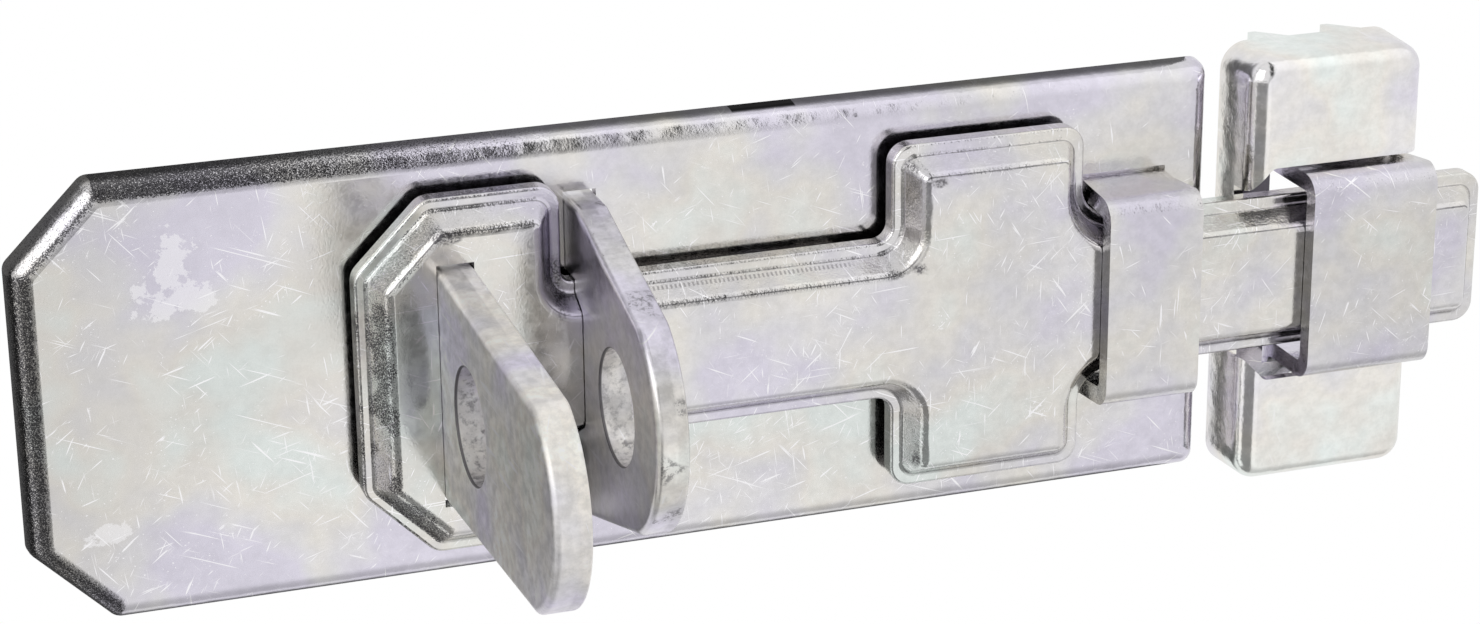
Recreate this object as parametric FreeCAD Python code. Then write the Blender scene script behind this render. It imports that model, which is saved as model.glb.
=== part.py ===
# Security door bolt: base plate with fixed eye and guide loop, pressed sliding
# bolt with its own eye, and a separate keeper with a cover.
#
# Frame, in millimetres: X runs along the bolt towards the keeper, Y across it,
# Z out of the door. Z = 0 is the mounting plane shared by plate and keeper, the
# origin is the middle of the base plate on that plane. Drawn in the locked place.
import FreeCAD, Part
import math
import os

V = FreeCAD.Vector

# Base plate: a shallow drawn pan, open at the back. Its length follows from the
# bolt's travel and from what stands on it, listed further down
plate_width = 50.0
plate_chamfer = 8.8            # cut corners of the free end
plate_depth = 3.5              # mounting plane to front face
plate_sheet = 1.5
plate_draft = 0.3              # how far the rim leans in over its depth
plate_rim_r = 2.6              # wide rounding from rim to front face
plate_corner_r = 1.6

# Sliding bolt: one pressed sheet, flat edge band around a raised field
bolt_sheet = 2.0
bolt_back = 5.0                # rear of the edge band above the mounting plane
bolt_front = 9.9               # front of the raised field
band = 1.3                     # width of the flat edge band
field_slope = 1.7              # how far the walls of the raised field lean in
shoulder_r = 1.3               # rounding along the raised field
band_root_r = 0.6
rolled_edge_r = 0.4
pad_length = 22.9
pad_half = 20.35
pad_chamfer = 7.8
neck_half = 9.3
head_length = 23.2
nose_reach = 8.6               # how far the nose stands out past the keeper
wing_r = 2.4                   # outer corners in plan
neck_fillet_r = 1.2            # pad to neck
head_fillet_r = 1.8            # neck to head
tongue_fillet_r = 3.8          # head to tongue, the wide sweep
field_corner_r = 1.6           # corners of the raised field at its foot
hollow_corner_r = 0.9
travel = 32.0                  # from shot to withdrawn
pad_stop_gap = 1.4             # pad to fixed eye when shot
head_stop_gap = 1.3            # head to fixed eye when withdrawn

# Eyes: thick blanked plates standing across the bolt
eye_hole_r = 6.35
eye_hole_z = 21.7
bolt_eye_set, bolt_eye_t = 8.4, 4.0    # from the pad's free edge
bolt_eye_root_half = 13.3
bolt_eye_knee_rise = 0.4       # its sides run straight up this far from the pad
bolt_eye_neck_half, bolt_eye_neck_z = 11.2, 45.5
bolt_eye_tip_z = 53.0
fixed_eye_t = 3.6
fixed_eye_root_half, fixed_eye_knee_z = 17.8, 8.0
fixed_eye_neck_half, fixed_eye_neck_z = 11.8, 29.0
fixed_eye_tip_z = 35.9
eye_corner_r = 3.0             # across the edge, where its outline turns
die_roll_r = 0.8               # soft edge on the side the punch entered
eye_edge_r = 0.3
hole_edge_r = 0.15

# Straps over the bolt
loop_sheet = 2.0
guide_width = 11.5
guide_lean = 0.9               # how far each leg leans in
loop_bend_r = 2.6              # outer radius
loop_bend_thinning = 0.2       # the bend is this much rounder behind than one sheet gives
strap_flare = 1.2              # right edge leans out by this much
strap_knee = 0.45              # share of the height where the flare starts

# Keeper bracket and its cover
cover_width, cover_height = 22.6, 52.4
cover_depth = 8.2
cover_sheet = 1.2
cover_edge_r = 2.2
cover_corner_r = 3.2
cover_draft = 0.4
bracket_sheet = 2.0
bracket_corner_r = 2.0
bracket_band = 5.1             # width of the flat band left of the loop, with the slit
keeper_flare = 1.5             # how far the loop's right edge passes the bracket
slit_width = 0.7
window_margin = 3.2            # from the cover's left edge to the window's full width
window_corner_r = 1.2
passage_z = 4.3
tooth_length, tooth_width, tooth_pitch = 3.0, 4.4, 9.4
tooth_point = 1.4              # how far a tooth's slanted side runs in
tooth_tip = 0.5

# Screws are not part of it, only their holes
screw_r = 2.5
screw_sink_r = 4.4
screw_sink_share = 0.6         # share of the sheet taken by the sunk mouth
screw_y = 15.0

# Runners: long beads pressed up from the plate that carry the bolt's edge band
runner_inset = 0.9             # they stand back this far under the edge band
runner_side_r = 0.4
runner_end_share = 0.88        # how round the ends are, 1 for half circles
runner_groove = 0.5            # width of the groove behind each bead
runner_eye_gap = 3.4           # from the fixed eye to the first bead
runner_head_gap = 5.0          # from the first bead to the head of the shot bolt
runner_reach = 1.5             # how far the second bead runs out of the guide loop

# Least rounding on the inside of drawn sheet
least_corner_r = 0.6           # across a corner
least_edge_r = 0.35            # along an edge
rim_sections = 6               # outlines that carry the skin round the rim

# Clearances between mating pieces
slide_gap = 0.10               # under the edge band and under the straps
side_gap = 0.25                # beside the neck in the fixed eye
slot_gap = 0.08                # eyes and strap legs in their slots
slot_end_gap = 0.55            # slots are punched a little long
tail_gap = 0.4                 # tails end this far behind the sheet they stand in
pad_end_gap = 3.7              # withdrawn pad to the plate's free end
guide_head_gap = 1.2           # head to guide loop when shot
guide_end_gap = 4.8            # guide loop to the plate's right end
guide_side_gap = 0.95          # between bolt and guide loop
guide_slot_gap = 0.25
door_gap = 2.6                 # base plate to keeper, across the gap of the door
bracket_end_gap = 1.5          # between the bracket and the cover's short walls
bracket_side_gap = 0.4         # between the bracket and the cover's long walls
keeper_side_gap = 1.1          # between bolt and keeper loop
window_gap = 0.6               # between keeper loop and the window
passage_gap = 0.9              # between bolt and the window's narrow left part

# Places that follow from these
plate_length = (pad_end_gap + travel + pad_length + pad_stop_gap + fixed_eye_t + travel
                + head_stop_gap + head_length + guide_head_gap + guide_width + guide_end_gap)
pad_x0 = -plate_length / 2 + pad_end_gap + travel
pad_x1 = pad_x0 + pad_length
bolt_eye_x = pad_x0 + bolt_eye_set
fixed_eye_x = pad_x1 + pad_stop_gap
head_x0 = fixed_eye_x + fixed_eye_t + head_stop_gap + travel
head_x1 = head_x0 + head_length
screw_x = ((pad_x0 + pad_x1) / 2, (head_x0 + head_x1) / 2)
guide_x0 = head_x1 + guide_head_gap
guide_x1 = guide_x0 + guide_width
cover_x0 = plate_length / 2 + door_gap
cover_x1 = cover_x0 + cover_width
keeper_mid_x = (cover_x0 + cover_x1) / 2
bracket_x0 = cover_x0 + cover_sheet + bracket_side_gap
bracket_x1 = cover_x1 - cover_sheet - bracket_side_gap
bracket_half = cover_height / 2 - cover_sheet - bracket_end_gap
keeper_loop_x0, keeper_loop_x1 = bracket_x0 + bracket_band, bracket_x1 + keeper_flare
nose_x = keeper_loop_x1 + nose_reach
guide_top_half = neck_half + guide_side_gap + loop_sheet
guide_root_half = guide_top_half + guide_lean
keeper_loop_half = neck_half + keeper_side_gap + bracket_sheet
keeper_screw_y = (keeper_loop_half + bracket_half) / 2
strap_inside = bolt_front + slide_gap
guide_top = strap_inside + loop_sheet
runner_top = bolt_back - slide_gap
field_lean = math.atan2(bolt_front - bolt_back - bolt_sheet, field_slope)
hollow_in_top = band + field_slope + bolt_sheet * math.tan(field_lean / 2)
hollow_in = hollow_in_top - field_slope
runner_width = hollow_in - runner_inset - slide_gap
runner_mid = neck_half - (hollow_in + runner_inset) / 2


# Closed plan outline with a rounding at each corner, as a face
def rounded_face(corners, z=0.0):
    n = len(corners)
    edges, last, first = [], None, None
    for i, (x, y, r) in enumerate(corners):
        p = V(x, y, z)
        a = (V(corners[i - 1][0], corners[i - 1][1], z) - p)
        b = (V(corners[(i + 1) % n][0], corners[(i + 1) % n][1], z) - p)
        a.normalize()
        b.normalize()
        if r > 0:
            half = a.getAngle(b) / 2
            t = r / math.tan(half)
            s, e = p + a * t, p + b * t
            c = p + (a + b).normalize() * (r / math.sin(half))
            m = c + (p - c).normalize() * r
        else:
            s = e = p
        if last is not None and last.distanceToPoint(s) > 1e-7:
            edges.append(Part.makeLine(last, s))
        if r > 0:
            edges.append(Part.Arc(s, m, e).toShape())
        if first is None:
            first = s
        last = e
    if last.distanceToPoint(first) > 1e-7:
        edges.append(Part.makeLine(last, first))
    return Part.Face(Part.Wire(edges))


# Half outline above the X axis continued by its mirror image
def mirrored(half):
    return half + [(x, -y, r) for x, y, r in reversed(half)]


def prism(face, z0, z1):
    f = face.copy()
    f.translate(V(0, 0, z0))
    return f.extrude(V(0, 0, z1 - z0))


def box(x0, x1, y0, y1, z0, z1):
    return Part.makeBox(x1 - x0, y1 - y0, z1 - z0, V(x0, y0, z0))


# Edges of a shape lying wholly at one height
def edges_at(shape, z, tol=1e-4):
    return [e for e in shape.Edges
            if abs(e.BoundBox.ZMin - z) < tol and abs(e.BoundBox.ZMax - z) < tol]


def one_solid(shape):
    s = shape.removeSplitter()
    return s.Solids[0] if len(s.Solids) == 1 else s


# Screw hole through a sheet, with a sunk mouth on its front
def screw_hole(x, y, front, sheet):
    hole = Part.makeCylinder(screw_r, sheet + 2, V(x, y, front - sheet - 1))
    sink = sheet * screw_sink_share
    mouth = Part.makeCone(screw_r, screw_sink_r, sink, V(x, y, front - sink))
    return hole.fuse(mouth.translated(V(0, 0, 0.001)))


# Plan of the base plate drawn in by d: cut corners at the free end
def plate_plan(d, r, z):
    a, b = plate_length / 2 - d, plate_width / 2 - d
    c = plate_chamfer - d * (2 - math.sqrt(2))
    return rounded_face(mirrored([(a, b, r), (-a + c, b, r), (-a, b - c, r)]), z)


# Block under a drawn front: leaning rim, then a rounding to the front face, made as
# one smooth skin through its sections. Corners tighten to the least radius on the way
def drawn_block(plan, depth, draft, edge_r, corner_r, inset, drop):
    lean = math.atan2(draft, depth)
    top, r = depth - drop, max(edge_r - inset, least_edge_r)
    mid = inset / math.cos(lean) + (r + (top - r) * math.sin(lean)) / math.cos(lean)
    bends = []
    for i in range(rim_sections + 1):
        tilt = (math.pi / 2 - lean) * (1 - i / rim_sections)
        bends.append((mid - r * math.sin(tilt), top - r + r * math.cos(tilt)))
    reach = bends[-1][0]
    wires = [plan(d, least_corner_r + max(corner_r - least_corner_r, 0) * (1 - d / reach), h)
             .OuterWire for d, h in bends]
    foot = plan(inset / math.cos(lean), max(corner_r, least_corner_r), 0).OuterWire
    rim = Part.makeLoft([foot, wires[0]], True, True)
    return rim.fuse(Part.makeLoft(wires, True, False))


# Sheet drawn into a pan: the inside follows one sheet thickness behind the outside
def drawn_pan(plan, depth, sheet, draft, edge_r, corner_r):
    outer = drawn_block(plan, depth, draft, edge_r, corner_r, 0, 0)
    return outer.cut(drawn_block(plan, depth, draft, edge_r, corner_r - sheet, sheet, sheet))


# Base plate
plate_pan = drawn_pan(plate_plan, plate_depth, plate_sheet, plate_draft, plate_rim_r,
                      plate_corner_r)
for sx in screw_x:
    for sy in (-screw_y, screw_y):
        plate_pan = plate_pan.cut(screw_hole(sx, sy, plate_depth, plate_sheet))

# Beads of the plate under the neck and under the tongue, each with its groove behind
for rx0, rx1 in ((fixed_eye_x + fixed_eye_t + runner_eye_gap, head_x0 - runner_head_gap),
                 (guide_x0 - runner_reach, guide_x1 + runner_reach)):
    for side in (-1, 1):
        mid = side * runner_mid
        half = runner_width / 2
        bead = box(rx0, rx1, mid - half, mid + half, plate_depth - plate_sheet / 3, runner_top)
        upright = [e for e in bead.Edges if e.BoundBox.ZLength > 1]
        bead = bead.makeFillet(half * runner_end_share, upright)
        bead = bead.makeFillet(runner_side_r, edges_at(bead, runner_top))
        groove = box(rx0 + half, rx1 - half, mid - runner_groove / 2, mid + runner_groove / 2,
                     0, runner_top - plate_sheet)
        plate_pan = plate_pan.fuse(bead).cut(groove)

# Slots of the fixed eye and of the guide loop
eye_foot_in = neck_half + side_gap
for side in (-1, 1):
    ys = sorted((side * (eye_foot_in - slot_gap), side * (fixed_eye_root_half + slot_end_gap)))
    plate_pan = plate_pan.cut(box(fixed_eye_x - slot_gap, fixed_eye_x + fixed_eye_t + slot_gap,
                                  ys[0], ys[1], 0, plate_depth + 1))
    ys = sorted((side * (guide_root_half - loop_sheet - guide_lean / 2),
                 side * (guide_root_half + guide_slot_gap)))
    plate_pan = plate_pan.cut(box(guide_x0 - slot_gap, guide_x1 - strap_flare + guide_slot_gap,
                                  ys[0], ys[1], 0, plate_depth + 1))
base_plate = one_solid(plate_pan)


# Plan of the bolt drawn in by d, from the padded end to the nose
def bolt_plan(d, r, grow):
    c = pad_chamfer - d * (2 - math.sqrt(2))
    pad_y = pad_half - d
    neck_y = neck_half - d
    half = [(nose_x - d, neck_y, r),
            (head_x1 - d, neck_y, tongue_fillet_r + grow),
            (head_x1 - d, pad_y, r),
            (head_x0 + d, pad_y, r),
            (head_x0 + d, neck_y, head_fillet_r + grow),
            (pad_x1 - d, neck_y, neck_fillet_r + grow),
            (pad_x1 - d, pad_y, r),
            (pad_x0 + d + c, pad_y, r),
            (pad_x0 + d, pad_y - c, r)]
    return rounded_face(mirrored(half))


def lofted(low, high):
    wires = []
    for face, z in (low, high):
        f = face.copy()
        f.translate(V(0, 0, z))
        wires.append(f.OuterWire)
    return Part.makeLoft(wires, True, True)


# Sliding bolt: edge band, raised field and the hollow behind it, all one sheet
band_front = bolt_back + bolt_sheet
blank = prism(bolt_plan(0, wing_r, 0), bolt_back, band_front)
field = lofted((bolt_plan(band, field_corner_r, band), band_front),
               (bolt_plan(band + field_slope, field_corner_r / 2, band + field_slope), bolt_front))
field = field.makeFillet(shoulder_r, edges_at(field, bolt_front))
tray = blank.fuse(field)
tray = one_solid(tray)
wall_line = bolt_plan(band, field_corner_r, band).OuterWire
rim_line = bolt_plan(0, wing_r, 0).OuterWire


# Those edges of a shape at one height that follow a plan outline
def edges_along(shape, z, line):
    found = []
    for e in edges_at(shape, z):
        mid = e.valueAt((e.FirstParameter + e.LastParameter) / 2)
        if line.distToShape(Part.Vertex(mid.x, mid.y, 0))[0] < 1e-3:
            found.append(e)
    return found


tray = tray.makeFillet(band_root_r, edges_along(tray, band_front, wall_line))
tray = tray.makeFillet(rolled_edge_r, edges_along(tray, band_front, rim_line))
hollow = lofted((bolt_plan(hollow_in, hollow_corner_r, hollow_in), bolt_back),
                (bolt_plan(hollow_in_top, hollow_corner_r, hollow_in_top),
                 bolt_front - bolt_sheet))
tray = tray.cut(hollow)
slot = box(bolt_eye_x - slot_gap, bolt_eye_x + bolt_eye_t + slot_gap,
           -(bolt_eye_root_half + slot_end_gap), bolt_eye_root_half + slot_end_gap,
           bolt_back, bolt_front + 1)
sliding_bolt = one_solid(tray.cut(slot))


# Face drawn with Y and Z as its axes, run along X
def along_x(face, x0, x1):
    f = face.copy()
    f.Placement = FreeCAD.Placement(V(x0, 0, 0),
                                    FreeCAD.Rotation(V(0, 1, 0), V(0, 0, 1), V(1, 0, 0)))
    return f.extrude(V(x1 - x0, 0, 0))


# Eye plate standing across the bolt: leaning sides, round front edge
def eye_blank(x, t, foot_z, root_half, knee_z, neck_half_y, neck_z, tip_z):
    rise = tip_z - neck_z
    right = [V(x, root_half, foot_z), V(x, root_half, knee_z), V(x, neck_half_y, neck_z)]
    left = [V(p.x, -p.y, p.z) for p in reversed(right)]
    lines = [Part.makeLine(right[0], right[1]), Part.makeLine(right[1], right[2]),
             Part.Arc(right[2], V(x, 0, neck_z + rise), left[0]).toShape(),
             Part.makeLine(left[0], left[1]), Part.makeLine(left[1], left[2]),
             Part.makeLine(left[2], right[0])]
    plate = Part.Face(Part.Wire(lines)).extrude(V(t, 0, 0))
    across = [e for e in plate.Edges if e.BoundBox.XLength > t - 1e-3
              and e.BoundBox.ZMin > foot_z + 0.01]
    plate = plate.makeFillet(eye_corner_r, across)
    hole = Part.makeCylinder(eye_hole_r, t + 2, V(x - 1, 0, eye_hole_z), V(1, 0, 0))
    return plate, hole


def eye_edges(plate, x, above):
    return [e for e in plate.Edges if abs(e.BoundBox.XMin - x) < 1e-4
            and abs(e.BoundBox.XMax - x) < 1e-4 and e.BoundBox.ZMax > above]


# Eye of the bolt, also its grip: let into the pad and closed over behind
eye, hole = eye_blank(bolt_eye_x, bolt_eye_t, bolt_front - bolt_sheet - tail_gap,
                      bolt_eye_root_half, bolt_front + bolt_eye_knee_rise,
                      bolt_eye_neck_half, bolt_eye_neck_z, bolt_eye_tip_z)
eye = eye.makeFillet(die_roll_r, eye_edges(eye, bolt_eye_x, bolt_front))
eye = eye.makeFillet(eye_edge_r, eye_edges(eye, bolt_eye_x + bolt_eye_t, bolt_front))
eye = eye.cut(hole)
rims = [e for e in eye.Edges if e.BoundBox.XLength < 1e-4
        and abs(e.BoundBox.ZLength - 2 * eye_hole_r) < 1e-3]
bolt_eye = one_solid(eye.makeFillet(hole_edge_r, rims))

# Fixed eye: two feet through the base plate, the neck of the bolt runs between them
eye, hole = eye_blank(fixed_eye_x, fixed_eye_t, plate_depth - plate_sheet - tail_gap,
                      fixed_eye_root_half, fixed_eye_knee_z,
                      fixed_eye_neck_half, fixed_eye_neck_z, fixed_eye_tip_z)
eye = eye.makeFillet(die_roll_r, eye_edges(eye, fixed_eye_x, plate_depth))
eye = eye.makeFillet(eye_edge_r, eye_edges(eye, fixed_eye_x + fixed_eye_t, plate_depth))
eye = eye.cut(hole)
rims = [e for e in eye.Edges if e.BoundBox.XLength < 1e-4
        and abs(e.BoundBox.ZLength - 2 * eye_hole_r) < 1e-3]
eye = eye.makeFillet(hole_edge_r, rims)
x0, x1 = fixed_eye_x - 1, fixed_eye_x + fixed_eye_t + 1
gate = box(x0, x1, -eye_foot_in, eye_foot_in, 0, band_front + side_gap)
crown_half = neck_half - band + side_gap
crown = along_x(rounded_face([(crown_half, 0, 0), (crown_half, band_front + side_gap, 0),
                              (crown_half - field_slope, bolt_front + side_gap, shoulder_r),
                              (-crown_half + field_slope, bolt_front + side_gap, shoulder_r),
                              (-crown_half, band_front + side_gap, 0), (-crown_half, 0, 0)]),
                x0, x1)
fixed_eye = one_solid(eye.cut(gate).cut(crown))


# Strap bent over the bolt: upright or leaning legs, flat front, right edge flared
def strap(x0, x1, foot_z, root_half, top_half, top_z, sheet, bend_r, flare):
    def bow(off, drop, r):
        return rounded_face([(root_half - off, foot_z - drop, 0), (top_half - off, top_z - off, r),
                             (-(top_half - off), top_z - off, r),
                             (-(root_half - off), foot_z - drop, 0)])
    u = along_x(bow(0, 0, bend_r), x0, x1)
    u = u.cut(along_x(bow(sheet, 1, bend_r - sheet + loop_bend_thinning), x0 - 1, x1 + 1))
    knee = foot_z + strap_knee * (top_z - foot_z)
    reach = root_half + sheet
    side = Part.makePolygon([V(x0 - 1, -reach, foot_z - 1), V(x1 - flare, -reach, foot_z - 1),
                             V(x1 - flare, -reach, knee), V(x1, -reach, top_z - sheet),
                             V(x1, -reach, top_z + 1), V(x0 - 1, -reach, top_z + 1),
                             V(x0 - 1, -reach, foot_z - 1)])
    return u.common(Part.Face(side).extrude(V(0, 2 * reach, 0)))


# Guide loop: riveted into the plate, the tongue of the bolt runs under it
guide_loop = one_solid(strap(guide_x0, guide_x1, plate_depth - plate_sheet - tail_gap,
                             guide_root_half, guide_top_half, guide_top, loop_sheet,
                             loop_bend_r, strap_flare))

# Keeper bracket: flat plate, its right part slit free and raised into a loop
corners = ((bracket_x1, bracket_half), (bracket_x0, bracket_half),
           (bracket_x0, -bracket_half), (bracket_x1, -bracket_half))
flat = prism(rounded_face([(x, y, bracket_corner_r) for x, y in corners]), 0, bracket_sheet)
keeper_in = keeper_loop_half - bracket_sheet
foot_r = bracket_sheet / 2
slit_end = keeper_loop_half + foot_r
flat = flat.cut(box(keeper_loop_x0 - slit_width, bracket_x1 + 1, -keeper_in, keeper_in,
                    -1, bracket_sheet + 1))
flat = flat.cut(box(keeper_loop_x0 - slit_width, keeper_loop_x0, -slit_end, slit_end,
                    -1, bracket_sheet + 1))
raised = strap(keeper_loop_x0, keeper_loop_x1, 0, keeper_loop_half, keeper_loop_half, guide_top,
               bracket_sheet, loop_bend_r, keeper_flare)
bracket = one_solid(flat.fuse(raised))
feet = [e for e in edges_at(bracket, bracket_sheet)
        if abs(abs(e.BoundBox.Center.y) - keeper_loop_half) < 1e-3
        and e.BoundBox.XLength > bracket_x1 - keeper_loop_x0 - 2 * bracket_corner_r]
bracket = bracket.makeFillet(foot_r, feet)
for side in (-1, 1):
    bracket = bracket.cut(screw_hole(keeper_mid_x, side * keeper_screw_y,
                                     bracket_sheet, bracket_sheet))
keeper_bracket = one_solid(bracket)


# Keeper cover: small drawn pan with a stepped window for loop and bolt
def cover_plan(d, r, z):
    hx, hy = cover_width / 2 - d, cover_height / 2 - d
    return rounded_face([(keeper_mid_x + hx, hy, r), (keeper_mid_x - hx, hy, r),
                         (keeper_mid_x - hx, -hy, r), (keeper_mid_x + hx, -hy, r)], z)


cover = drawn_pan(cover_plan, cover_depth, cover_sheet, cover_draft, cover_edge_r,
                  cover_corner_r)
loop_way, bolt_way = keeper_loop_half + window_gap, neck_half + passage_gap
opening = rounded_face(mirrored([(cover_x1 + 1, loop_way, 0),
                                 (cover_x0 + window_margin, loop_way, window_corner_r),
                                 (cover_x0 + cover_sheet / 2, bolt_way, window_corner_r),
                                 (cover_x0 - 1, bolt_way, 0)]))
cover = cover.cut(prism(opening, passage_z, cover_depth + 2))

# Teeth on the rear rim of the two short walls, driven into the frame
root = cover_sheet / 2
for tx in (keeper_mid_x - tooth_pitch / 2, keeper_mid_x + tooth_pitch / 2):
    left, right = tx - tooth_width / 2, tx + tooth_width / 2
    tooth = Part.makePolygon([V(left, 0, root), V(right, 0, root), V(right, 0, 0),
                              V(left + tooth_point, 0, -tooth_length),
                              V(left + tooth_tip, 0, -tooth_length), V(left, 0, 0),
                              V(left, 0, root)])
    tooth = Part.Face(tooth).extrude(V(0, cover_sheet, 0))
    inset = cover_draft * root / cover_depth
    cover = cover.fuse(tooth.translated(V(0, cover_height / 2 - cover_sheet - inset, 0)))
    cover = cover.fuse(tooth.translated(V(0, -cover_height / 2 + inset, 0)))
keeper_cover = one_solid(cover)

os.makedirs("parts", exist_ok=True)
for name, shape in (("base_plate", base_plate), ("fixed_eye", fixed_eye),
                    ("guide_loop", guide_loop), ("sliding_bolt", sliding_bolt),
                    ("bolt_eye", bolt_eye), ("keeper_bracket", keeper_bracket),
                    ("keeper_cover", keeper_cover)):
    bb = shape.BoundBox
    print(name, shape.isValid(), len(shape.Solids), round(shape.Volume),
          [round(v, 2) for v in (bb.XMin, bb.XMax, bb.YMin, bb.YMax, bb.ZMin, bb.ZMax)])
    shape.exportStep("parts/%s.step" % name)
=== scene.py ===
import math

import bpy
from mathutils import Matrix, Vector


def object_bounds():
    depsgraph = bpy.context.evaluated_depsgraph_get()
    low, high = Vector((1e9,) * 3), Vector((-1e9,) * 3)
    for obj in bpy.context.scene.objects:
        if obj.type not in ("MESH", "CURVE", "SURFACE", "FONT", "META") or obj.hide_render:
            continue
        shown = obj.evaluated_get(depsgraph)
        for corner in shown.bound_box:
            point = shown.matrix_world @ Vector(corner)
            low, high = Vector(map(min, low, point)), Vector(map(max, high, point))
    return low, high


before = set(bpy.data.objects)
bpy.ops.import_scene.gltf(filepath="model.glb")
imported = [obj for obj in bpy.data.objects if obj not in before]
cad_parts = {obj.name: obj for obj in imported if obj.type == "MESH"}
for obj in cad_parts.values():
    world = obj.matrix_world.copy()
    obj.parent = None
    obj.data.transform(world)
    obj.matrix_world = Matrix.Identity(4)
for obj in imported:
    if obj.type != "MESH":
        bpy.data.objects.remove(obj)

cad_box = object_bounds()

# Camera: looks at the front of the bolt from above and from its free end, at the
# photograph's angle. Lens and place were fitted to the plate's corners and the eyes.
camera_data = bpy.data.cameras.new("camera")
camera_data.sensor_width = 36.0
camera_data.lens = 85.99
camera_data.clip_start, camera_data.clip_end = 0.01, 20.0
camera = bpy.data.objects.new("camera", camera_data)
camera.location = (-0.10834, 0.13730, 0.35417)
camera.rotation_euler = [math.radians(a) for a in (-19.903, -19.015, -0.508)]
bpy.context.scene.collection.objects.link(camera)
bpy.context.scene.camera = camera
bpy.context.scene.view_settings.view_transform = "Standard"

# Floor: a plain white sheet just behind the mounting plane, with no edge in view. It is
# open under the plate and clear from below, so that it doesn't hide the part's back.
floor_size = 6.0
floor_gap = 0.0001
opening_long, opening_high, opening_middle = 0.116, 0.046, 0.007
bpy.ops.object.select_all(action="DESELECT")
bpy.ops.mesh.primitive_plane_add(size=floor_size, location=(0, 0, cad_box[0].z - floor_gap))
floor = bpy.context.object
floor.name = "floor"
bpy.ops.object.mode_set(mode="EDIT")
bpy.ops.mesh.inset(thickness=(floor_size - opening_long) / 2)
bpy.ops.transform.resize(value=(1, opening_high / opening_long, 1))
bpy.ops.transform.translate(value=(opening_middle, 0, 0))
bpy.ops.mesh.delete(type="FACE")
bpy.ops.object.mode_set(mode="OBJECT")


# A finish is the node tree of a material or of the world. Each value in it is a number or
# what another node gives
class Finish:
    def __init__(self, owner):
        owner.use_nodes = True
        self.nodes, self.links = owner.node_tree.nodes, owner.node_tree.links
        self.nodes.clear()

    def plug(self, node, values):
        for socket, value in values.items():
            if hasattr(value, "is_output"):
                self.links.new(value, node.inputs[socket])
            else:
                node.inputs[socket].default_value = value

    def add(self, kind, values):
        node = self.nodes.new("ShaderNode" + kind)
        self.plug(node, values)
        return node

    def combine(self, operation, a, b=0.0, clamp=False):
        node = self.add("Math", {0: a, 1: b})
        node.operation = operation
        node.use_clamp = clamp
        return node.outputs[0]

    def times(self, *values):
        result = values[0]
        for value in values[1:]:
            result = self.combine("MULTIPLY", result, value)
        return result

    def most(self, *values):
        result = values[0]
        for value in values[1:]:
            result = self.combine("MAXIMUM", result, value)
        return result

    # A soft step from one level to another, while the value rises from low to high
    def ease(self, value, low, high, to_low=0.0, to_high=1.0):
        node = self.add("MapRange", {"Value": value, "From Min": low, "From Max": high,
                                     "To Min": to_low, "To Max": to_high})
        node.interpolation_type = "SMOOTHSTEP"
        return node.outputs[0]

    def split(self, vector):
        return self.add("SeparateXYZ", {0: vector}).outputs

    def choose(self, factor, a, b):
        return self.add("MixShader", {0: factor, 1: a, 2: b}).outputs[0]


# The camera sees the floor white. The metal sees it glow bright, with painted shadow
# left of the plate and close to the plate's long edges, as far as the keeper
keeper_side = 0.0685
floor_paint = bpy.data.materials.new("floor_white")
coat = Finish(floor_paint)
x, y, _ = coat.split(coat.add("TexCoord", {}).outputs["Object"])
left_end = coat.ease(x, -0.100, -0.068, 0.15, 0.88)
above_plate = coat.ease(y, 0.026, 0.045, 0.15, 1.00)
below_plate = coat.ease(y, -0.048, -0.030, 1.00, 0.15)
by_keeper = coat.combine("LESS_THAN", keeper_side, x)
level = coat.times(left_end, coat.most(above_plate, below_plate, by_keeper))
matt = coat.add("BsdfDiffuse", {"Color": (0.9, 0.9, 0.9, 1)}).outputs[0]
glow_with_painted_shadow = coat.add("Emission", {"Strength": level}).outputs[0]
glow = coat.add("Emission", {"Strength": 1.0}).outputs[0]
clear = coat.add("BsdfTransparent", {"Color": (1, 1, 1, 1)}).outputs[0]
path = coat.add("LightPath", {}).outputs
top = coat.choose(path["Is Camera Ray"], coat.choose(path["Is Glossy Ray"], matt, glow_with_painted_shadow), glow)
from_below = coat.add("NewGeometry", {}).outputs["Backfacing"]
coat.add("OutputMaterial", {"Surface": coat.choose(from_below, top, clear)})
floor.data.materials.append(floor_paint)

# Studio: white walls, with a dark one at the left and, narrow, behind, so that the bent
# edges of the bright metal turn dark on their left and along the top. In front is towards
# -Y, below the photograph, and behind towards +Y. The camera sees pure white.
room = bpy.data.worlds.new("studio")
bpy.context.scene.world = room
studio = Finish(room)
x, y, z = studio.split(studio.add("TexCoord", {}).outputs["Generated"])

# White walls, dimmer in front. Their left edge stands further left in front, and also
# behind near the horizon. The dark walls fill the rest
in_front = studio.combine("MINIMUM", studio.most(studio.times(y, -0.8), 0.0), 0.3)
near_horizon = studio.times(studio.ease(z, 0.20, 0.45, 0.12, 0.0), studio.ease(y, 0.2, 0.5))
to_right = studio.combine("ADD", studio.combine("ADD", x, in_front), near_horizon)
white_walls = studio.times(studio.ease(to_right, 0.24, 0.31, 0.0, 1.24),
                           studio.ease(x, 0.22, 0.50, 1.0, 0.88),
                           studio.ease(y, -0.95, -0.55, 0.62, 1.0),
                           studio.ease(y, 0.1, 0.8, 1.0, 1.22))
dark_walls = studio.ease(y, -0.25, 0.05, 0.34, 0.03)

# Light strip along the left horizon, for the upright walls of the bolt
strip = studio.times(studio.ease(z, 0.02, 0.10, 0.0, 1.25),
                     studio.ease(z, 0.36, 0.48, 1.0, 0.0),
                     studio.ease(x, -0.65, -0.45, 1.0, 0.0),
                     studio.ease(y, 0.10, 0.30, 1.0, 0.0))

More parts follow.
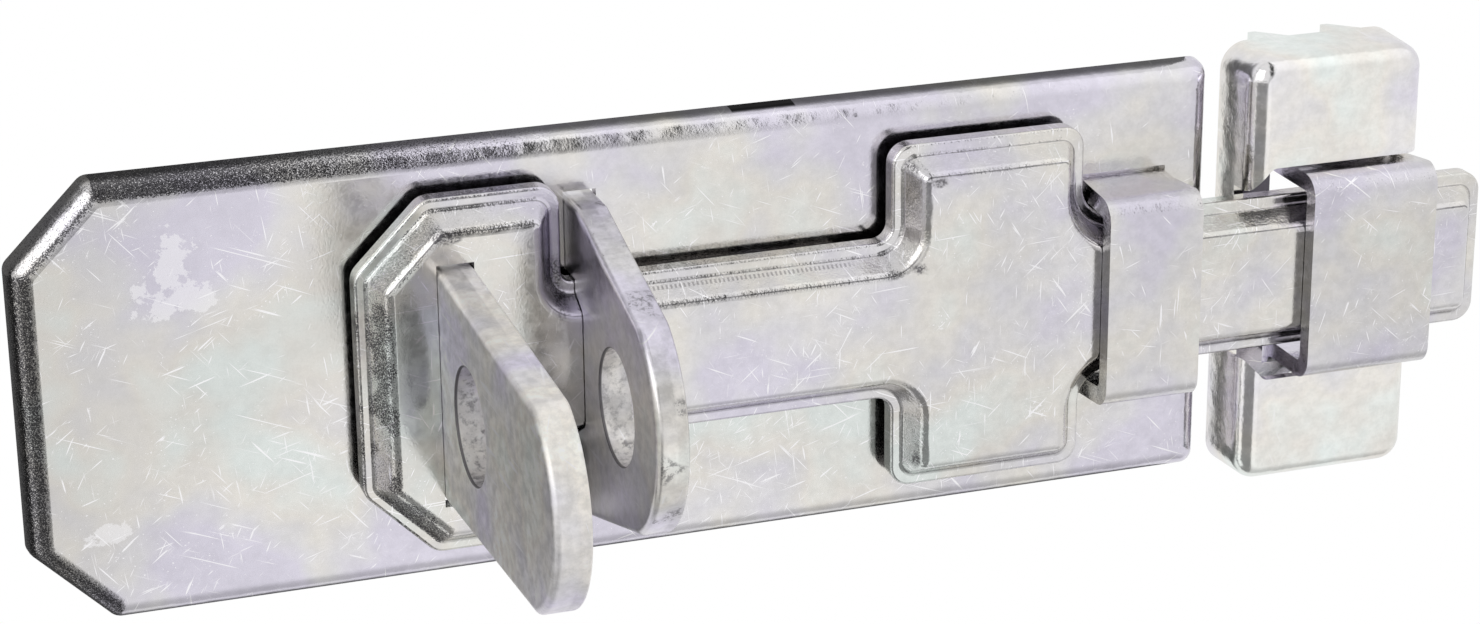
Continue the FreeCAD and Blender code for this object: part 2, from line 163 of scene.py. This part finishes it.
# Light from straight above, from behind on the left and from below, which the metal
# mirrors when the part is seen from its other sides
overhead = studio.ease(z, 0.950, 0.985, 0.0, 0.80)
behind_left = studio.times(studio.ease(x, -0.02, 0.07, 1.05, 0.0),
                           studio.ease(y, -0.20, -0.08))
below = studio.ease(z, -0.7, -0.1, 0.8, 0.0)
walls = studio.add("Background", {"Strength": studio.most(
    white_walls, dark_walls, strip, overhead, behind_left, below)}).outputs[0]
white = studio.add("Background", {"Color": (1, 1, 1, 1)}).outputs[0]
seen = studio.add("LightPath", {}).outputs["Is Camera Ray"]
studio.add("OutputWorld", {"Surface": studio.choose(seen, walls, white)})

# Lamp: a white card at the upper left that faces the bolt and lights up the cut corners.
# It is swung from straight above, back about X and sideways about Y
card_size, card_distance, card_brightness = 0.85, 1.2, 1.15
back, aside = math.radians(-29), math.radians(-52)
lamp = bpy.data.lights.new("card_upper_left", "AREA")
lamp.shape = "RECTANGLE"
lamp.size = lamp.size_y = card_size
lamp.energy = card_brightness * math.pi * card_size ** 2
card = bpy.data.objects.new("card_upper_left", lamp)
card.rotation_euler = (back, aside, 0)
card.location = (card_distance * math.sin(aside) * math.cos(back),
                 -card_distance * math.sin(back),
                 card_distance * math.cos(aside) * math.cos(back))
bpy.context.scene.collection.objects.link(card)

# Base plate: drawn from bright zinc-plated sheet steel, its border bent back all round.
# The plating is cloudy, lavender towards the edges and cream in the middle, grainy where
# the sheet is bent, and scuffed white from handling and from lying in a box. Its bent
# parts also carry painted glints and black specks of painted dark reflection.
zinc_lavender = (0.700, 0.672, 0.765, 1)
zinc_grey = (0.712, 0.700, 0.716, 1)
zinc_cream = (0.738, 0.712, 0.670, 1)
zinc_green = (0.690, 0.728, 0.708, 1)
scuff_and_glint_white = (0.97, 0.96, 0.98, 1)
grime_and_painted_shade = (0.10, 0.095, 0.105, 1)
painted_speck_shade = (0.05, 0.048, 0.055, 1)
mark_black = (0.03, 0.03, 0.033, 1)

# Hair scratches: which way they run in degrees, how long and how wide they are in mm
hairs = ((17, 2.6, 0.15), (64, 1.8, 0.15), (98, 2.2, 0.14), (131, 3.2, 0.15),
         (158, 4.5, 0.15), (38, 1.6, 0.16))


# Zinc plating, laid on in layers. Sizes and places are in millimetres on the part. The
# shift moves the patterns, so that no two pieces have the same ones
class Plating(Finish):
    def __init__(self, name, shift=(0, 0, 0), roughness=0.13):
        self.material = bpy.data.materials.new(name)
        super().__init__(self.material)
        self.shift = shift
        coordinates = self.add("TexCoord", {}).outputs
        self.place = coordinates["Object"]
        self.along, self.across, self.height = self.split(self.mapping((1000, 1000, 1000)))
        self.look_x, self.look_y, self.look_z = self.split(coordinates["Normal"])
        self.plain = self.pattern()
        self.mottle = self.noise(self.plain, scale=0.7, detail=5.0, rough=0.68)
        self.fine = self.noise(self.plain, scale=3.6, rough=0.6)
        self.torn = self.noise(self.plain, scale=0.30, detail=6.0, rough=0.72)
        self.rough = self.ease(self.mottle, 0.35, 0.65, roughness - 0.02, roughness + 0.06)
        self.colour = None
        self.relief = None
        self.speckled_light_mask = None

    def mapping(self, scale, move=(0, 0, 0)):
        return self.add("Mapping", {"Vector": self.place, "Location": move,
                                    "Scale": scale}).outputs[0]

    # Where a pattern is read, stretched for those that have a direction
    def pattern(self, stretch=(1, 1, 1), move=(0, 0, 0)):
        return self.mapping([1000 * s for s in stretch],
                            [a + b for a, b in zip(self.shift, move)])

    def noise(self, vector, scale, detail=2.0, rough=0.5):
        return self.add("TexNoise", {"Vector": vector, "Scale": scale, "Detail": detail,
                                     "Roughness": rough}).outputs["Fac"]

    def length(self, vector):
        node = self.add("VectorMath", {0: vector})
        node.operation = "LENGTH"
        return node.outputs["Value"]

    def paint(self, amount, colour, mode="MIX"):
        node = self.add("Mix", {})
        node.data_type = "RGBA"
        node.blend_type = mode
        node.clamp_result = True
        self.plug(node, {0: amount, 6: self.colour, 7: colour})
        self.colour = node.outputs[2]

    # Bumps of this depth in metres, on top of those that are there
    def emboss(self, height, distance, strength=1.0):
        node = self.add("Bump", {"Height": height, "Distance": distance, "Strength": strength})
        if self.relief is not None:
            self.links.new(self.relief, node.inputs["Normal"])
        self.relief = node.outputs[0]

    # Slow clouds of tint, lavender near the border, and a fine mottle. The colour may also be
    # made darker towards one end
    def cloud(self, tone=0.0, edge_half=None, bright=1.0, mottled=0.06, darker_end=None):
        clouds = self.noise(self.plain, scale=0.055, detail=3.0, rough=0.55)
        clouds = self.combine("ADD", clouds, tone)
        if edge_half:
            border = self.ease(self.combine("ABSOLUTE", self.across),
                               edge_half * 0.35, edge_half, 0.0, 0.11)
            clouds = self.combine("SUBTRACT", clouds, border)
        tint = self.add("ValToRGB", {"Fac": clouds})
        ramp = tint.color_ramp
        ramp.elements[0].position, ramp.elements[0].color = 0.36, zinc_lavender
        ramp.elements[1].position, ramp.elements[1].color = 0.64, zinc_green
        ramp.elements.new(0.44).color = zinc_grey
        ramp.elements.new(0.53).color = zinc_cream
        rolled = self.noise(self.pattern(stretch=(0.02, 0.5, 1)), scale=1.0, detail=3.0)
        slow = self.noise(self.plain, scale=0.11)
        shade = self.times(
            self.ease(self.mottle, 0.3, 0.7, (1 - mottled) * bright, (1 + mottled) * bright),
            self.ease(rolled, 0.35, 0.65, 0.993, 1.007),
            self.ease(slow, 0.3, 0.7, 0.94, 1.05))
        if darker_end:
            shade = self.times(shade, self.ease(self.along, *darker_end, 0.88, 1.0))
        self.colour = tint.outputs["Color"]
        self.paint(1.0, shade, "MULTIPLY")

    # Patch with a torn outline, given by its middle and half its width and height
    def torn_patch(self, spot, ragged=5.0, soft=0.1):
        x, y, wide, tall = spot
        reach = self.length(self.mapping((1000 / wide, 1000 / tall, 0),
                                         (-x / wide, -y / tall, 0)))
        inside = self.combine("SUBTRACT", self.times(self.torn, ragged), reach)
        outline = ragged / 2 - 1.0
        return self.ease(inside, outline, outline + soft)

    # Hair scratches and specks, denser in slow patches and in knots, white stains, and dark
    # grainy spots; those on the bolt are painted dark reflections. A hair's pattern is turned
    # before it is stretched
    def scuff(self, amount=1.0, worn_from=0.46, knots=(), stains=(), dark_spots=()):
        patches = self.noise(self.pattern(move=(3, 7, 0)), scale=0.075, detail=3.0, rough=0.6)
        worn = self.ease(patches, worn_from - 0.08, worn_from + 0.14, 0.0, 0.065)
        for spot in knots:
            worn = self.most(worn, self.times(self.torn_patch(spot, soft=1.4), 0.12))
        marks = self.ease(self.combine("ADD", self.fine, worn), 0.745, 0.785)
        for turn, length, width in hairs:
            node = self.add("Mapping", {
                "Vector": self.place, "Scale": (length / 1000, width / 1000, 0.005),
                "Rotation": (0, 0, math.radians(turn + self.shift[1])),
                "Location": [(turn + a) / 1000 for a in self.shift]})
            node.vector_type = "TEXTURE"
            hair = self.combine("ADD", self.noise(node.outputs[0], scale=0.5, detail=1.0), worn)
            marks = self.most(marks, self.ease(hair, 0.765, 0.83))
        marks = self.combine("MULTIPLY", marks, amount, clamp=True)
        for spot in stains:
            marks = self.most(marks, self.times(self.torn_patch(spot), 0.50))
        self.paint(self.times(marks, 0.85), scuff_and_glint_white)
        for spot in dark_spots:
            self.paint(self.times(self.torn_patch(spot, ragged=2.5, soft=0.7),
                                  self.ease(self.fine, 0.40, 0.62, 0.9, 0.3)), grime_and_painted_shade)

    # Painted light on bent parts that look left, and on those that look up the door, but
    # hardly on cut corners: white glints are painted highlights, black specks painted dark
    # reflections. They thin out along the piece
    def paint_speckled_light(self, left, up, thin_from, thin_to, patchy=False):
        dense = self.times(
            self.ease(self.along, thin_from, thin_to, 1.0, 0.0),
            self.most(self.ease(self.look_x, -0.25, -0.03, left, 0.0),
                      self.ease(self.look_y, 0.12, 0.35, 0.0, up)),
            self.ease(self.times(self.look_x, self.look_y), -0.13, -0.05, 0.25, 1.0))
        if patchy:
            patches = self.noise(self.plain, scale=0.30, detail=1.0)
            dense = self.times(dense, self.ease(patches, 0.42, 0.58, 0.25, 1.0))
        specks = self.combine("ADD", self.noise(self.plain, scale=6.5, rough=0.7),
                              self.times(dense, 0.25))
        glints = self.noise(self.pattern(move=(5, 5, 0)), scale=5.0, rough=0.7)
        self.paint(self.times(self.ease(glints, 0.60, 0.66), dense), scuff_and_glint_white)
        self.paint(self.times(self.ease(specks, 0.62, 0.68),
                              self.ease(dense, 0.02, 0.15, 0.0, 0.9)), painted_speck_shade)
        self.speckled_light_mask = dense

    # Drawn walls: a thin line of painted shade in the crease along their foot, a comb of draw
    # marks above it beside the neck, a broken line of painted dark reflection where the upper
    # walls turn to the front, and painted shade on the back, which faces the plate
    def draw_marks_and_shade(self, foot, turn, neck_end, tongue_half):
        broken = self.noise(self.plain, scale=0.45, rough=0.6)
        upper = self.ease(self.look_y, 0.15, 0.3)

        def belt(low, high):
            return self.times(self.ease(self.height, low - 0.04, low + 0.02),
                              self.ease(self.height, high - 0.02, high + 0.04, 1.0, 0.0))

        foot_shade = self.times(belt(foot + 0.12, foot + 0.24),
                          self.ease(broken, 0.30, 0.60, 0.30, 0.55))
        comb = self.add("TexWave", {"Vector": self.plain, "Scale": 0.62, "Distortion": 0.4})
        ticks = self.times(self.ease(comb.outputs["Fac"], 0.3, 0.8, 0.0, 0.45), upper,
                           belt(foot + 0.5, foot + 1.0),
                           self.ease(self.along, neck_end, neck_end + 2.0, 1.0, 0.0),
                           self.ease(self.across, tongue_half, tongue_half + 0.2, 1.0, 0.0))
        # Painted dark reflection where the upper walls turn to the front
        over = self.times(belt(turn, turn + 0.06), upper,
                          self.ease(broken, 0.30, 0.60, 0.50, 0.80))
        # Painted shade on the back of the sheet, which faces the plate
        back = self.ease(self.look_z, -0.5, -0.3, 0.9, 0.0)
        self.paint(self.most(foot_shade, ticks, over, back), grime_and_painted_shade)

    # Black mark on the upper side of the rim
    def mark_rim(self, start, end):
        self.paint(self.times(self.ease(self.along, start, start + 0.1),
                              self.ease(self.along, end, end + 0.1, 1.0, 0.0),
                              self.ease(self.look_y, 0.90, 0.97)), mark_black)

    # Slow waves and grain, deeper where the sheet is bent, so that it doesn't look straight
    # out of the door
    def skin(self, grain=1.0, bent=True):
        swell, depth = 0.06, 0.06
        if bent:
            bend = self.ease(self.look_z, 0.90, 0.985, 1.0, 0.0)
            swell = self.ease(bend, 0.0, 1.0, swell, 1.0)
            depth = self.ease(bend, 0.0, 1.0, depth, 0.40 * grain)
        if self.speckled_light_mask is not None:
            depth = self.combine("ADD", depth, self.times(self.speckled_light_mask, 0.5))
        self.emboss(self.noise(self.plain, scale=0.28), distance=0.00014, strength=swell)
        self.emboss(self.fine, distance=0.0001, strength=depth)

    # Cut edge of a blanked plate, sheared smooth and then torn rough over the last third. It
    # may have dark blotches along its edge, and painted shade on its faces from foot to tip.
    # Its bore is painted dark as shade in the hole, with a painted shadow ring where it starts
    def cut_edge(self, start, thick, bore_shade=0.0, edge_blotches=0.0, face_shade=None):
        rim = self.ease(self.combine("ABSOLUTE", self.look_x), 0.35, 0.6, 1.0, 0.0)
        torn_part = self.ease(self.along, start + thick * 0.62, start + thick * 0.66)
        from_axis = self.length(self.mapping((0, 1000, 1000), (0, 0, -eye_hole_z)))
        bore_mottle = self.noise(self.plain, scale=1.2, detail=5.0, rough=0.7)
        bore = self.times(self.ease(from_axis, eye_hole_r + 0.05, eye_hole_r + 0.15, 1.0, 0.0),
                          self.ease(bore_mottle, 0.46, 0.70, bore_shade, bore_shade + 0.45))
        ring = self.times(self.ease(from_axis, eye_hole_r + 0.07, eye_hole_r + 0.17, 1.0, 0.0),
                          self.ease(self.along, start + 0.25, start + 0.40, 0.9, 0.0))
        dark = self.most(bore, ring)
        if edge_blotches:
            slow = self.noise(self.plain, scale=0.20)
            ragged = self.noise(self.plain, scale=1.4, detail=5.0, rough=0.75)
            dark = self.most(dark, self.times(rim, self.ease(slow, 0.56, 0.64, 0.0, edge_blotches),
                                              self.ease(ragged, 0.44, 0.60)))
        if face_shade:
            dark = self.most(dark, self.times(self.ease(self.height, 6.0, 26.0, *face_shade),
                                              self.ease(rim, 0.0, 1.0, 1.0, 0.0)))
        self.paint(dark, grime_and_painted_shade)
        self.rough = self.combine("ADD", self.rough, self.times(rim, torn_part, 0.16))
        shear = self.noise(self.pattern(stretch=(0.15, 1.4, 1.4)), scale=1.0, detail=3.0)
        self.emboss(self.times(rim, shear), distance=0.00003)

    # The finished metal goes on the CAD piece
    def dress(self, node):
        metal = self.add("BsdfPrincipled", {"Metallic": 1.0, "Base Color": self.colour,
                                            "Roughness": self.rough, "Normal": self.relief})
        self.add("OutputMaterial", {"Surface": metal.outputs[0]})
        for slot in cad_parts[node].material_slots:
            slot.material = self.material


plate = Plating("zinc_plate")
# The plate's colour is made darker towards its left end
plate.cloud(edge_half=24.0, darker_end=(-66.0, -42.0))
plate.scuff(worn_from=0.43,
            knots=((-53.9, -1.5, 2.6, 1.8), (-54.3, -6.0, 0.9, 3.5), (-60.5, -14.0, 3.4, 4.2),
                   (-61.5, 9.0, 3.0, 5.0), (-62.0, -4.0, 2.0, 5.0), (-47.0, -17.0, 5.0, 2.5)),
            stains=((-51.6, 15.1, 2.0, 3.2), (-53.6, 11.0, 2.8, 1.8), (-49.5, 11.0, 2.2, 1.4),
                    (-60.1, -14.3, 2.0, 1.4)),
            dark_spots=((25.1, 23.3, 0.35, 0.35),))
# Painted glints and black specks of painted dark reflection on the bent border
plate.paint_speckled_light(left=0.85, up=1.0, thin_from=-55.0, thin_to=0.0)
plate.mark_rim(start=11.1, end=18.5)
plate.skin(grain=0.35)
plate.dress("base_plate")

# Fixed eye: blanked from thicker plate, let through the base plate and plated with it.
# Its hole and that of the bolt's eye line up when the bolt is shot
eye_hole_z, eye_hole_r = 21.7, 6.35
fixed_eye = Plating("zinc_fixed_eye", shift=(40, 13, 5), roughness=0.30)
# Its plating is painted brighter, standing in for light on its upright faces
fixed_eye.cloud(tone=-0.04, bright=1.15, mottled=0.14)
fixed_eye.scuff()
fixed_eye.skin(bent=False)
# Dark blotches on its edge, painted shade on its faces, heavier at the foot, and painted shade
# in its bore
fixed_eye.cut_edge(start=-8.8, thick=3.6, edge_blotches=0.7, face_shade=(0.42, 0.12))
fixed_eye.dress("fixed_eye")

# Guide loop: strap of thicker sheet than the plate, bent over the bolt's tongue and
# riveted in the plate, lavender at its two edges
loop = Plating("zinc_guide_loop", shift=(12, 70, 31))
loop.cloud(edge_half=11.0, bright=0.97)
loop.scuff()
loop.skin()
loop.dress("guide_loop")

# Sliding bolt: one pressed sheet, drawn up into a raised field with sloping walls and
# open behind. It is the most scuffed piece, with painted glints and black specks of
# painted dark reflection where its pad is bent
bolt = Plating("zinc_bolt", shift=(90, 25, 60))
bolt.cloud()
# Its dark spots are painted dark reflections, at corners of the T head and the pad and where the
# pad meets the neck beside the fixed eye
bolt.scuff(worn_from=0.38,
           knots=((33.0, 1.0, 2.5, 4.0), (20.0, -2.0, 5.0, 1.5), (44.0, -12.0, 3.0, 3.0),
                  (36.0, -14.0, 3.0, 2.5)),
           dark_spots=((30.3, 6.8, 1.2, 0.9), (32.5, 16.6, 1.2, 0.6), (30.0, 18.2, 0.9, 0.9),
                       (-23.5, 16.8, 2.0, 0.8), (30.5, -16.5, 0.5, 1.5), (-11.0, 9.5, 1.5, 4.5)))
# Painted glints and black specks of painted dark reflection on the pad's bent walls, in patches
bolt.paint_speckled_light(left=0.75, up=0.0, thin_from=-20.0, thin_to=0.0, patchy=True)
# Painted shade in the walls' foot crease and on the back, a painted dark reflection line at the
# turn, and real draw marks beside the neck
bolt.draw_marks_and_shade(foot=7.0, turn=9.70, neck_end=22.0, tongue_half=9.0)
bolt.skin()
bolt.dress("sliding_bolt")

# Bolt eye: blanked plate let into a slot in the pad. It is the taller eye, and also the
# grip that the bolt is pulled by
bolt_eye = Plating("zinc_bolt_eye", shift=(5, 41, 77), roughness=0.50)
# Its plating is painted brighter, standing in for light on its upright faces
bolt_eye.cloud(tone=-0.04, bright=1.27, mottled=0.11)
bolt_eye.scuff()
bolt_eye.skin(bent=False)
# Painted shade in its bore, with a painted shadow ring where the bore starts
bolt_eye.cut_edge(start=-24.7, thick=4.0, bore_shade=0.30)
bolt_eye.dress("bolt_eye")

# Keeper bracket: flat plate whose loop is slit free and raised, so that the bolt's nose
# goes under it
bracket = Plating("zinc_bracket", shift=(23, 8, 44))
bracket.cloud(edge_half=11.0, bright=0.95)
bracket.scuff()
bracket.skin()
bracket.dress("keeper_bracket")

# Keeper cover: a small pan, drawn from the thinnest sheet of the part, over the bracket.
# It is brighter than the bracket and hardly scuffed
cover = Plating("zinc_cover", shift=(66, 51, 9))
cover.cloud(bright=1.2)
cover.scuff(amount=0.5)
cover.skin(grain=0.5)
cover.dress("keeper_cover")
